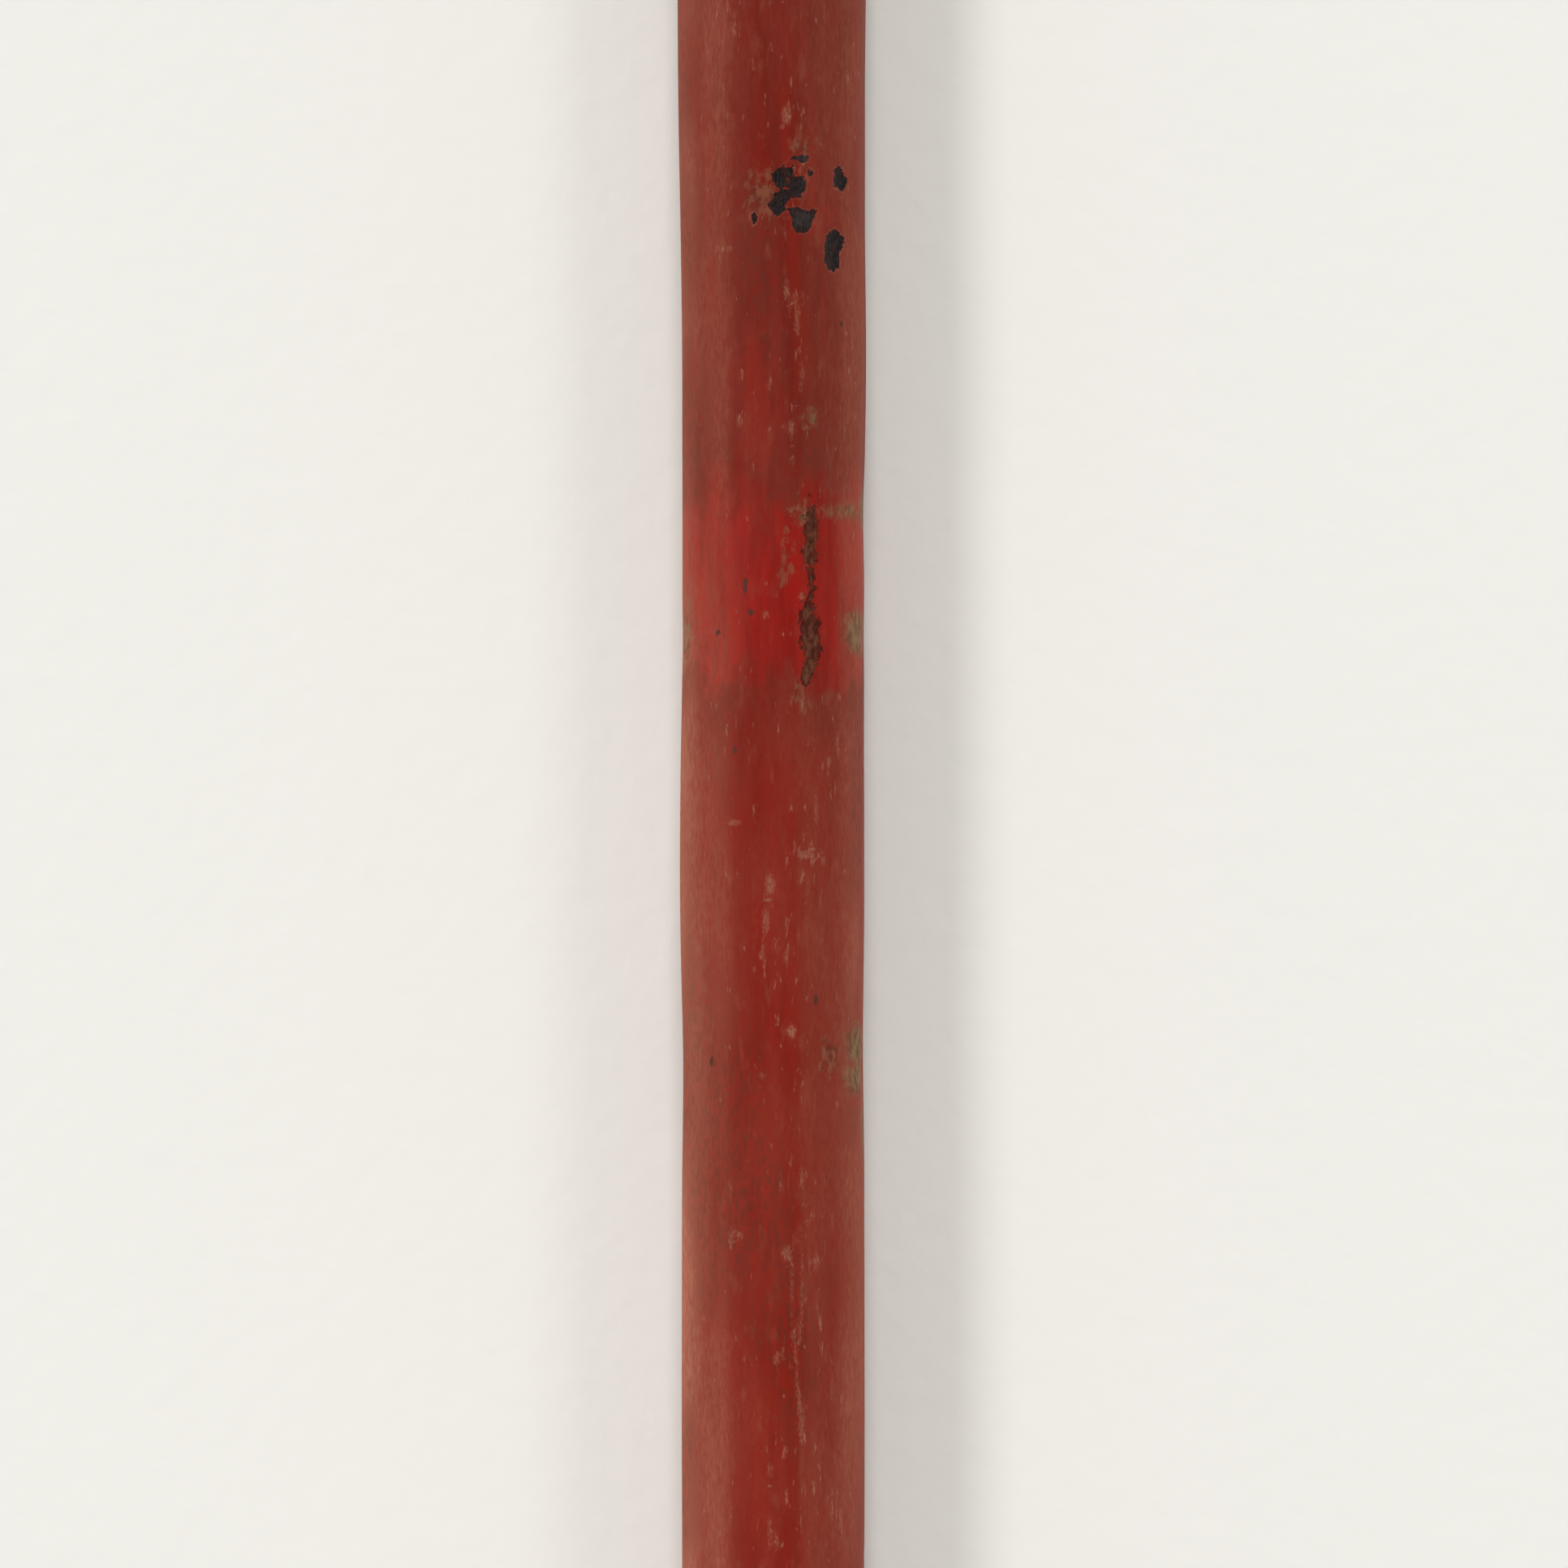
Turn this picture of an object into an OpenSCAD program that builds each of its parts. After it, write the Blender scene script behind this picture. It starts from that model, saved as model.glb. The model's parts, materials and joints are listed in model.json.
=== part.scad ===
// A gooseneck wrecking bar: one steel forging from octagonal bar, with a split nail claw
// on the gooseneck and a cranked chisel at the other end. It lies on its side, as it
// settles on a floor: on the shank, on one edge of the claw and on one edge of the chisel.

/* [Shank] */
// Length of the whole bar, from the back of the gooseneck to the edge of the chisel
overall_length = 914; // [600:1:1200]
// Distance across two opposite flats of the octagonal shank
across_flats = 22.2; // [18:0.1:26]
// How much of each side of the octagon the rounding of a corner takes up
corner_share = 0.25; // [0.1:0.01:0.4]

/* [Gooseneck and claw] */
// Radius of the gooseneck, measured to the middle of the bar
neck_radius = 41; // [36:0.5:50]
// Angle that the gooseneck turns through before the claw straightens out
neck_angle = 150; // [130:1:160]
// Length of the flat part of the claw, from the end of the neck to the tips
claw_length = 64; // [50:1:90]
// Angle that the flat part of the claw still curves through
claw_curve = 11; // [4:1:16]
// Width of the claw
claw_width = 38; // [30:0.5:46]
// Thickness of the claw at its tips
claw_edge = 2.6; // [1.6:0.1:4]
// Length of the nail slot, from the tips to its root
slot_length = 40; // [25:1:48]
// Width of the nail slot between the tips
slot_mouth = 13; // [8:0.5:16]
// Width of the nail slot at its rounded root
slot_root = 3.6; // [2.5:0.1:5]

/* [Chisel] */
// Length of the bar that is drawn down into the chisel
chisel_length = 135; // [90:1:180]
// Angle between the chisel and the shank
chisel_angle = 17; // [8:1:25]
// Radius of the crank between the shank and the chisel, measured to the middle of the bar
crank_radius = 120; // [80:5:180]
// Width of the chisel at its edge
chisel_width = 31; // [24:0.5:38]
// Thickness of the chisel at its edge
chisel_edge = 2.2; // [1.4:0.1:4]

/* [Hidden] */

half = across_flats / 2;
octagon_chamfer = 1 - tan(22.5);      // how far a chamfer runs in from a flat, in half widths
edge_chamfer = 0.3;                   // the same where the stock is drawn right down
widest_chamfer = 0.6;                 // most of a half width that a chamfer may take
corner_steps = 3;                     // chords in each rounded corner
grid = 0.001;                         // sections keep to whole microns

flatten_from = 90;                    // angle on the neck where the stock starts to flatten
claw_wide_at = 0.8;                   // share of the claw's run at which it is full width
claw_taper = 0.72;                    // below 1, the claw stays thick until near its tips
chisel_wide_from = 0.15;              // shares of the chisel over which it widens
chisel_wide_to = 0.95;
chisel_taper = 0.9;
chisel_wedge = 1.1;                   // above 1, the edge is still on the slope of the wedge
edge_round = 3;                       // the corners of an edge are rounded in over this length
edge_inset = 1.6;                     // and by this much on each side

neck_rings = 13;
blade_rings = 20;
crank_rings = 8;
chisel_rings = 18;
ring_crowding = 1.35;                 // above 1, rings are closer together towards an edge
slot_depth = 60;
slot_overrun = 4;

blade_radius = claw_length / (claw_curve * PI / 180);
neck_arc = neck_radius * (neck_angle - flatten_from) * PI / 180;
claw_run = neck_arc + claw_length;
crank_arc = crank_radius * chisel_angle * PI / 180;
shank_length = overall_length - neck_radius - half - crank_radius * sin(chisel_angle)
    - (chisel_length - crank_arc) * cos(chisel_angle);

function mix(a, b, share) = a + (b - a) * share;
function clamp(x) = max(0, min(1, x));
function ease(x) = let (c = clamp(x)) c * c * (3 - 2 * c);
function to_grid(p) = [for (x = p) round(x / grid) * grid];

// The corner of a section, rounded with a short parabola between its two sides.
function rounded(before, corner, after) =
    let (a = mix(corner, before, corner_share), b = mix(corner, after, corner_share))
    [for (i = [0 : corner_steps])
        let (t = i / corner_steps)
        to_grid((1 - t) * (1 - t) * a + 2 * t * (1 - t) * corner + t * t * b)];

// A section of the bar, as [across the bend plane, in the bend plane] points: an octagon
// with soft corners, which gets wider and flatter as the stock is drawn down.
function section(half_width, half_thick, chamfer = octagon_chamfer) =
    let (
        inner_u = half_width - min(half * chamfer, half_width * widest_chamfer),
        inner_v = half_thick * (1 - chamfer),
        corners = [
            [half_width, -inner_v], [half_width, inner_v],
            [inner_u, half_thick], [-inner_u, half_thick],
            [-half_width, inner_v], [-half_width, -inner_v],
            [-inner_u, -half_thick], [inner_u, -half_thick]
        ],
        n = len(corners)
    )
    [for (i = [0 : n - 1])
        each rounded(corners[(i + n - 1) % n], corners[i], corners[(i + 1) % n])];

// A section stood on the bar's middle line at p, square to it. The normal lies in the
// bend plane and points away from the inside of the gooseneck.
function ring(p, normal, points) =
    [for (q = points) [p.x + q[1] * normal.x, p.y + q[1] * normal.y, q[0]]];

// The middle line starts along +X at the origin, where the shank meets the gooseneck.
function away(angle) = [-sin(angle), -cos(angle)];
function neck_point(angle) = [0, neck_radius] + neck_radius * away(angle);
function blade_point(angle) =
    neck_point(neck_angle) + blade_radius * (away(angle) - away(neck_angle));
function crank_angle(run) = min(chisel_angle, chisel_angle * run / crank_arc);
function chisel_point(run) =
    let (angle = crank_angle(run))
    [shank_length, -crank_radius] - crank_radius * away(angle)
        + max(0, run - crank_arc) * [cos(angle), -sin(angle)];

function crowded(share) = 1 - pow(1 - share, ring_crowding);
function corner_inset(left) = edge_inset * pow(clamp(1 - left / edge_round), 2);
function chamfer_at(share) = mix(octagon_chamfer, edge_chamfer, ease(share));

function claw_section(run) =
    let (
        share = run / claw_run,
        wide = mix(half, claw_width / 2, ease(share / claw_wide_at)),
        thick = mix(claw_edge / 2, half, pow(1 - share, claw_taper))
    )
    section(wide - corner_inset(claw_run - run), thick, chamfer_at(share));

claw_sections = concat(
    [for (i = [0 : neck_rings - 1])
        let (share = i / neck_rings, angle = mix(flatten_from, neck_angle, share))
        ring(neck_point(angle), away(angle), claw_section(neck_arc * share))],
    [for (i = [0 : blade_rings])
        let (share = crowded(i / blade_rings), angle = neck_angle + claw_curve * share)
        ring(blade_point(angle), away(angle), claw_section(neck_arc + claw_length * share))]
);

function chisel_section(run) =
    let (
        share = run / chisel_length,
        widening = (share - chisel_wide_from) / (chisel_wide_to - chisel_wide_from),
        wide = mix(half, chisel_width / 2, ease(widening)),
        drawn = pow(ease(share / chisel_wedge) / ease(1 / chisel_wedge), chisel_taper),
        thick = mix(half, chisel_edge / 2, drawn)
    )
    section(wide - corner_inset(chisel_length - run), thick, chamfer_at(share));

// Both ends are skinned towards -X, so the chisel's rings start at its edge.
chisel_runs = concat(
    [for (i = [chisel_rings : -1 : 0]) mix(crank_arc, chisel_length, crowded(i / chisel_rings))],
    [for (i = [crank_rings - 1 : -1 : 0]) crank_arc * i / crank_rings]
);
chisel_sections = [for (run = chisel_runs)
    ring(chisel_point(run), away(crank_angle(run)), chisel_section(run))];

// The bar settles on its side. It rolls about the shank until the claw's lower edge comes
// down, then its chisel end lifts by the little that the chisel's lower edge needs.
function joined(rings) = [for (r = rings) each r];
function stock_drop(roll) =
    max([for (q = section(half, half)) -q[1] * sin(roll) - q[0] * cos(roll)]);
function roll_to_floor(drop) =
    max([for (p = joined(claw_sections)) asin(-drop / norm([p.y, p.z])) - atan2(p.z, p.y)]);

rest_roll = roll_to_floor(stock_drop(roll_to_floor(half)));
rest_drop = stock_drop(rest_roll);
function height(p) = p.y * sin(rest_roll) + p.z * cos(rest_roll);
rest_pitch = max([for (p = joined(chisel_sections)) atan2(-rest_drop - height(p), p.x)]);

function settled(p) =
    let (y = p.y * cos(rest_roll) - p.z * sin(rest_roll), z = height(p))
    [p.x * cos(rest_pitch) - z * sin(rest_pitch), y, p.x * sin(rest_pitch) + z * cos(rest_pitch)];

// The row's origin is under the middle of the settled bar, on the floor.
outline = [for (p = joined(concat(claw_sections, chisel_sections))) settled(p)];
function least(axis) = min([for (p = outline) p[axis]]);
function most(axis) = max([for (p = outline) p[axis]]);
origin = [(least(0) + most(0)) / 2, (least(1) + most(1)) / 2, least(2)];

// Skins a row of rings that all have the same number of points.
module loft(rings) {
    n = len(rings[0]);
    last = len(rings) - 1;
    sides = [for (i = [0 : last - 1], j = [0 : n - 1])
        let (a = i * n + j, b = i * n + (j + 1) % n)
        each [[a, b, a + n], [b, b + n, a + n]]];
    start = [for (j = [n - 1 : -1 : 0]) j];
    end = [for (j = [0 : n - 1]) last * n + j];
    polyhedron([for (r = rings) each r], concat(sides, [start, end]));
}

module stock_outline() {
    polygon([for (q = section(half, half)) [q[1], q[0]]]);
}

module shank() {
    rotate([90, 0, 90])
        linear_extrude(shank_length)
            stock_outline();
}

module gooseneck() {
    translate([0, neck_radius, 0])
        rotate([0, 0, 270 - flatten_from])
            rotate_extrude(angle = flatten_from, $fn = 120)
                translate([neck_radius, 0])
                    stock_outline();
}

// The split between the two halves of the claw: a long V with a rounded root, cut square
// to the blade.
module nail_slot() {
    angle = neck_angle + claw_curve * (1 - slot_length / 2 / claw_length);
    middle = blade_point(angle);
    root = -slot_length / 2 + slot_root / 2;
    tips = slot_length / 2;
    beyond = tips + slot_overrun;
    spread = mix(slot_root, slot_mouth, (beyond - root) / (tips - root)) / 2;
    translate([middle.x, middle.y, 0])
        rotate([90, 0, 180 - angle])
            translate([0, 0, -slot_depth / 2])
                linear_extrude(slot_depth) {
                    translate([root, 0])
                        circle(d = slot_root, $fn = 48);
                    polygon([
                        [root, -slot_root / 2], [beyond, -spread],
                        [beyond, spread], [root, slot_root / 2]
                    ]);
                }
}

module claw() {
    difference() {
        loft(claw_sections);
        nail_slot();
    }
}

module chisel() {
    loft(chisel_sections);
}

module forged_bar() {
    color("#8a3127")
        translate(-origin)
            rotate([rest_roll, -rest_pitch, 0]) {
                shank();
                gooseneck();
                claw();
                chisel();
            }
}

forged_bar();
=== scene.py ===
"""A worn, red-painted gooseneck wrecking bar, built around its CAD frame.

The bar is shaped and marked in a frame of its own, in millimetres, and SETTLED takes it
from there to the row's frame, in metres, as it lies on the floor.
"""
import json
import math
import random

import bpy
import numpy as np
from mathutils import Matrix, Vector, noise


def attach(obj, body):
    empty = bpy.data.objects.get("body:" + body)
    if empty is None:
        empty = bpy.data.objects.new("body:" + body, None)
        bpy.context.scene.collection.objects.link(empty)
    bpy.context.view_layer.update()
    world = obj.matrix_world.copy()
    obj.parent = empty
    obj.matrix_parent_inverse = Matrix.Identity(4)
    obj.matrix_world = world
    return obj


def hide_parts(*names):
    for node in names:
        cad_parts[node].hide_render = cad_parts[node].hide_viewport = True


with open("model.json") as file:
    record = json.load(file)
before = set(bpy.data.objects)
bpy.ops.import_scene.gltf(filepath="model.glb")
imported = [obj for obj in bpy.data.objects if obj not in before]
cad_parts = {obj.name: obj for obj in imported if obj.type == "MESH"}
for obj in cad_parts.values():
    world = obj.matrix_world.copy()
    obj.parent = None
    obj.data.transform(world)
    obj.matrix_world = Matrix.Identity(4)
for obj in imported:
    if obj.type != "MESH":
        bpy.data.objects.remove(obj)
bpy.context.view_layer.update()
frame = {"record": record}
MM = 0.001

# ---------------------------------------------------------------- the bar's driving sizes
# They are the CAD model's, in millimetres, along a middle line that is measured from the
# end of the gooseneck: run is positive along the shank and negative round the neck.
HALF = 11.1
NECK_RADIUS, NECK_ANGLE = 41.0, math.radians(150)
CLAW_LENGTH, CLAW_CURVE = 64.0, math.radians(11)
CLAW_WIDTH, CLAW_EDGE = 38.0, 2.6
SLOT_LENGTH, SLOT_MOUTH, SLOT_ROOT = 40.0, 13.0, 3.6
CHISEL_LENGTH, CHISEL_ANGLE, CRANK_RADIUS = 135.0, math.radians(17), 120.0
CHISEL_WIDTH, CHISEL_EDGE = 31.0, 2.2
OVERALL = 914.0

NECK_ARC = NECK_RADIUS * NECK_ANGLE
BLADE_RADIUS = CLAW_LENGTH / CLAW_CURVE
FLATTEN_FROM = NECK_RADIUS * math.pi / 2
CLAW_RUN = NECK_ARC - FLATTEN_FROM + CLAW_LENGTH
CRANK_ARC = CRANK_RADIUS * CHISEL_ANGLE
SHANK = (
    OVERALL - NECK_RADIUS - HALF - CRANK_RADIUS * math.sin(CHISEL_ANGLE)
    - (CHISEL_LENGTH - CRANK_ARC) * math.cos(CHISEL_ANGLE)
)
CLAW_TIP = -NECK_ARC - CLAW_LENGTH
CHISEL_TIP = SHANK + CHISEL_LENGTH
CHISEL_HEADING = np.array([math.cos(CHISEL_ANGLE), -math.sin(CHISEL_ANGLE)])

CLAW_TAPER = 0.72               # below 1, the claw stays thick until near its tips
CLAW_WIDE_AT = 0.8              # share of the claw's run at which it has its full width
CHISEL_TAPER = 0.9              # below 1, the chisel thins a little sooner
CHISEL_WEDGE = 1.1              # above 1, the edge is still on the slope of the wedge
CHISEL_WIDENS = 0.15, 0.95      # shares of the chisel's length between which it widens
EDGE_INSET, EDGE_INSET_RUN = 1.6, 3.0   # the edges' corners are rounded in so far, over so far
EDGE_ROUND = 0.5                # the worn rounding of the claw's tips and the chisel's edge

OCTAGON_CHAMFER = 1 - math.tan(math.radians(22.5))
EDGE_CHAMFER = 0.3              # the chamfer where the stock is drawn right down
WIDEST_CHAMFER = 0.6            # the most of a half width that a chamfer takes up
CORNER_SHARE = 0.30             # how much of each side the rounding of its corner takes up
CORNER_STEPS, FLAT_STEPS = 8, 8     # points of an outline along each corner and each flat

# ------------------------------------------------------------------- the photographed part
SEEN_AT = 366.0                 # run at the middle of the view
SEEN_LENGTH = 190.7             # how much of the bar the view takes in
BAR_OFF_CENTRE = -1.3           # the bar stands a little left of the view's middle

# How far the skin's rings are apart right at the edges, near them, in view and elsewhere,
# and how far those zones reach from the edges and from the middle of the view.
EDGE_STEP, TIP_STEP, SEEN_STEP, PLAIN_STEP = 0.15, 0.9, 0.62, 2.0
EDGE_ZONE, TIP_ZONE, SEEN_ZONE = 1.2, 8.0, SEEN_LENGTH / 2 + 4
# On the seen face, all the wear within this of the middle of the view is listed.
HAND_PLACED_ZONE = SEEN_LENGTH / 2 + 6


# -------------------------------------------------------------------------- small helpers
def mix(a, b, share):
    """a where the share is 0, and b where it is 1."""
    return a + (b - a) * share


def ease(x, low=0.0, high=1.0):
    """0 below low and 1 above high, with a smooth rise between them."""
    c = np.clip((np.asarray(x, float) - low) / (high - low), 0, 1)
    return c * c * (3 - 2 * c)


def away(angle):
    """The direction in the bend plane that points away from the gooseneck's inside."""
    return np.stack([-np.sin(angle), -np.cos(angle)], axis=-1)


def noise_at(points, scale, seed, octaves=2):
    """Smooth noise from about -1 to 1, where scale is the size of its lumps."""
    shift = Vector((seed * 17.3, seed * 5.1, seed * 9.7))
    out = np.empty(len(points))
    for i, p in enumerate(np.asarray(points, float) / scale):
        out[i] = noise.fractal(Vector(p) + shift, 1.0, 2.0, octaves)
    return out


# ----------------------------------------------------------------- the shape of the forging
def middle_line(run):
    """Points of the middle line in the bend plane, and the normals there."""
    run = np.asarray(run, float)
    neck = np.clip(-run / NECK_RADIUS, 0, NECK_ANGLE)
    blade = np.clip((-run - NECK_ARC) / BLADE_RADIUS, 0, None)
    crank = np.clip((run - SHANK) / CRANK_RADIUS, 0, CHISEL_ANGLE)
    straight = np.clip(run - SHANK - CRANK_ARC, 0, None)
    hook = np.array([0, NECK_RADIUS]) + NECK_RADIUS * away(neck)
    hook = hook + BLADE_RADIUS * (away(neck + blade) - away(neck))
    chisel = CRANK_RADIUS * (np.array([0, -1]) - away(crank))
    chisel = chisel + straight[:, None] * CHISEL_HEADING
    shank = np.stack([np.clip(run, 0, SHANK), 0 * run], axis=-1)
    points = np.where((run < 0)[:, None], hook, shank + chisel)
    return points, away(np.where(run < 0, neck + blade, crank))


def straighten(points):
    """The inverse of the middle line: (in the bend plane, across it, run) of each point."""
    x, y, z = points.T
    neck = np.mod(np.arctan2(-x, NECK_RADIUS - y), 2 * math.pi)
    neck_out = np.hypot(x, y - NECK_RADIUS) - NECK_RADIUS
    centre = middle_line([-NECK_ARC])[0][0] - BLADE_RADIUS * away(NECK_ANGLE)
    blade = np.arctan2(centre[0] - x, centre[1] - y) - NECK_ANGLE
    blade_out = np.hypot(x - centre[0], y - centre[1]) - BLADE_RADIUS
    crank = np.arctan2(x - SHANK, y + CRANK_RADIUS)
    crank_out = CRANK_RADIUS - np.hypot(x - SHANK, y + CRANK_RADIUS)
    past_crank = np.stack([x, y], axis=-1) - middle_line([SHANK + CRANK_ARC])[0][0]

    # The stretches in turn: neck, claw blade, shank, crank and, for the rest, the chisel.
    in_hook = (x < 0) | (y > 2 * HALF)
    stretches = [in_hook & (neck < NECK_ANGLE), in_hook, x < SHANK, crank < CHISEL_ANGLE]
    runs = [-NECK_RADIUS * neck, -NECK_ARC - BLADE_RADIUS * blade, x, SHANK + CRANK_RADIUS * crank]
    run = np.select(stretches, runs, SHANK + CRANK_ARC + past_crank @ CHISEL_HEADING)
    outs = [neck_out, blade_out, -y, crank_out]
    out = np.select(stretches, outs, past_crank @ away(CHISEL_ANGLE))
    return np.stack([out, z, run], axis=-1)


def drawn_down(run):
    """Half width, half thickness and chamfer of the bar at each run."""
    claw = np.clip((-run - FLATTEN_FROM) / CLAW_RUN, 0, 1)
    chisel = np.clip((run - SHANK) / CHISEL_LENGTH, 0, 1)
    claw_wide = mix(HALF, CLAW_WIDTH / 2, ease(claw, 0, CLAW_WIDE_AT))
    claw_thick = mix(CLAW_EDGE / 2, HALF, (1 - claw) ** CLAW_TAPER)
    chisel_wide = mix(HALF, CHISEL_WIDTH / 2, ease(chisel, *CHISEL_WIDENS))
    wedge = (ease(chisel / CHISEL_WEDGE) / ease(1 / CHISEL_WEDGE)) ** CHISEL_TAPER
    chisel_thick = mix(HALF, CHISEL_EDGE / 2, wedge)
    left = np.minimum(run - CLAW_TIP, CHISEL_TIP - run)
    corner = EDGE_INSET * np.clip(1 - left / EDGE_INSET_RUN, 0, 1) ** 2
    worn = EDGE_ROUND * np.clip(1 - left / EDGE_ROUND, 0, 1) ** 2
    wide = np.where(run < 0, claw_wide, chisel_wide) - corner - worn
    thick = np.where(run < 0, claw_thick, chisel_thick) - worn
    chamfer = mix(OCTAGON_CHAMFER, EDGE_CHAMFER, ease(np.maximum(claw, chisel)))
    return wide, thick, chamfer


def sections(wide, thick, chamfer):
    """An octagon with soft corners for each ring, as (across, in the bend plane) points."""
    u = wide - np.minimum(HALF * chamfer, wide * WIDEST_CHAMFER)
    v = thick * (1 - chamfer)
    corners = np.stack([
        np.stack([wide, -v], -1), np.stack([wide, v], -1),
        np.stack([u, thick], -1), np.stack([-u, thick], -1),
        np.stack([-wide, v], -1), np.stack([-wide, -v], -1),
        np.stack([-u, -thick], -1), np.stack([u, -thick], -1),
    ], axis=1)
    before = mix(corners, np.roll(corners, 1, axis=1), CORNER_SHARE)
    after = mix(corners, np.roll(corners, -1, axis=1), CORNER_SHARE)
    points = []
    for i in range(8):
        for t in np.linspace(0, 1, CORNER_STEPS, endpoint=False):
            bend = (1 - t) ** 2 * before[:, i] + 2 * t * (1 - t) * corners[:, i]
            points.append(bend + t * t * after[:, i])
        for t in np.linspace(0, 1, FLAT_STEPS, endpoint=False):
            points.append(mix(after[:, i], before[:, (i + 1) % 8], t))
    return np.stack(points, axis=1)


def section_at(run):
    """The outline at one run, as (across, in the bend plane) points."""
    return sections(*drawn_down(np.array([run])))[0]


def ring_runs():
    """Where the skin has its rings: close together on the seen stretch and at the edges."""
    runs = [CLAW_TIP]
    while runs[-1] < CHISEL_TIP:
        left = min(runs[-1] - CLAW_TIP, CHISEL_TIP - runs[-1])
        if left < EDGE_ZONE:
            step = EDGE_STEP
        elif left < TIP_ZONE:
            step = TIP_STEP
        elif abs(runs[-1] - SEEN_AT) < SEEN_ZONE:
            step = SEEN_STEP
        else:
            step = PLAIN_STEP
        runs.append(min(runs[-1] + step, CHISEL_TIP))
    return np.array(runs)


def end_cap(around, pair_sum):
    """Fills an outline whose points j and pair_sum - j face each other across it."""
    first = pair_sum // 2
    faces = []
    for i in range(around // 2):
        corners = [first + i, first + i + 1, pair_sum - first - i - 1, pair_sum - first - i]
        faces.append(list(dict.fromkeys(c % around for c in corners)))
    return [face for face in faces if len(face) > 2]


def skin(name, rings, pair_sum):
    """A closed mesh over rings of equal length, capped at both ends."""
    count, around = rings.shape[:2]
    a = np.arange((count - 1) * around).reshape(count - 1, around)
    b = np.roll(a, -1, axis=1)
    quads = np.stack([a, b, b + around, a + around], axis=-1).reshape(-1, 4)
    cap = end_cap(around, pair_sum)
    start = [face[::-1] for face in cap]
    end = [[(count - 1) * around + i for i in face] for face in cap]
    mesh = bpy.data.meshes.new(name)
    mesh.from_pydata(rings.reshape(-1, 3).tolist(), [], quads.tolist() + start + end)
    mesh.update()
    piece = bpy.data.objects.new(name, mesh)
    bpy.context.scene.collection.objects.link(piece)
    return piece


def stood_on_line(run, outline):
    """Puts (across, in plane) outlines square to the middle line at each run."""
    middle, normal = middle_line(run)
    flat = middle[:, None] + outline[..., 1:] * normal[:, None]
    return np.concatenate([flat, outline[..., :1]], axis=-1)


def slot_cutter():
    """The nail slot: a V with a round root, wider at both faces where it is bevelled."""
    bevel_in, bevel_out, past_faces, past_tips = 0.9, 1.9, 6.0, 3.0
    root_steps, side_steps = 9, 32
    radius = SLOT_ROOT / 2
    tips = -CLAW_TIP
    root = tips - SLOT_LENGTH
    start = root + radius
    round_part = root + radius * (1 - np.cos(np.linspace(0.12, math.pi / 2, root_steps)))
    straight_part = np.linspace(start, tips + past_tips, side_steps)[1:]
    depth = np.concatenate([round_part, straight_part])
    widening = (SLOT_MOUTH - SLOT_ROOT) / 2 / (tips - start)
    half = radius + widening * np.clip(depth - start, 0, None)
    inside = np.clip((start - depth) / radius, 0, 1)
    half = np.where(depth < start, radius * np.sqrt(1 - inside**2), half)
    thick = drawn_down(-np.minimum(depth, tips - EDGE_ROUND))[1]
    inner, outer = np.minimum(bevel_in, thick * 0.3), np.minimum(bevel_out, thick * 0.4)
    rows = [
        (half + outer + past_faces, thick + past_faces), (half, thick - outer),
        (half, -thick + inner), (half + inner + past_faces, -thick - past_faces),
    ]
    right = [np.stack([u, v], -1) for u, v in rows]
    left = [np.stack([-u, v], -1) for u, v in reversed(rows)]
    outline = np.stack(right + left, axis=1)
    return skin("cutter", stood_on_line(-depth, outline), 2 * len(rows) - 1)


def cut(piece, cutter):
    """Takes the cutter out of the piece."""
    step = piece.modifiers.new("slot", "BOOLEAN")
    step.operation = "DIFFERENCE"
    step.solver = "EXACT"
    step.object = cutter
    depsgraph = bpy.context.evaluated_depsgraph_get()
    result = bpy.data.meshes.new_from_object(piece.evaluated_get(depsgraph))
    piece.modifiers.remove(step)
    piece.data = result
    bpy.data.objects.remove(cutter)


# ------------------------------------------------------------------------------- settling
def settle_matrix():
    """From the bar's own frame, in millimetres, to the row's, from the record's mounts."""
    mounts = {m["name"]: m for m in frame["record"]["mounts"]}
    along = Vector(mounts["neck_hang"]["axis"]).normalized()
    up = Vector(mounts["shank_upper_flat"]["axis"]).normalized()
    side = up.cross(along).normalized()
    turn = Matrix((along, side, up)).transposed()
    inside_neck = Vector((HALF - NECK_RADIUS, NECK_RADIUS, 0)) * MM
    place = Vector(mounts["neck_hang"]["pos_m"]) - turn @ inside_neck
    return Matrix.Translation(place) @ turn.to_4x4() @ Matrix.Scale(MM, 4)


SETTLED = settle_matrix()


def settled(points):
    """Points of the bar's own frame, taken to the row's."""
    m = np.array(SETTLED)
    return np.asarray(points, float) @ m[:3, :3].T + m[:3, 3]


# ----------------------------------------------------------------------- wear on the paint
# Wear on the seen stretch, each spot as (along, across, length, width) in mm, with along
# measured from the middle of the view, and across from the middle of the bar.
BLACK_CHIPS = [
    (-73.6, 0.9, 3.0, 2.2), (-74.4, 1.5, 1.6, 1.8), (-72.6, 2.8, 2.5, 2.4),
    (-71.3, 1.2, 1.9, 2.2), (-70.1, 0.3, 2.1, 2.1), (-76.0, 3.8, 0.9, 2.0),
    (-74.3, 4.4, 0.6, 0.8), (-68.4, 3.8, 2.8, 2.9), (-69.4, 3.1, 1.5, 1.7),
    (-69.4, 4.7, 1.3, 1.3), (-73.5, 8.4, 2.4, 2.1), (-74.7, 7.8, 1.2, 1.2),
    (-66.1, 7.5, 2.8, 2.9), (-64.9, 7.3, 3.0, 2.7), (-63.8, 7.0, 2.8, 2.3),
    (-68.6, -2.4, 1.1, 0.7),
]
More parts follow.
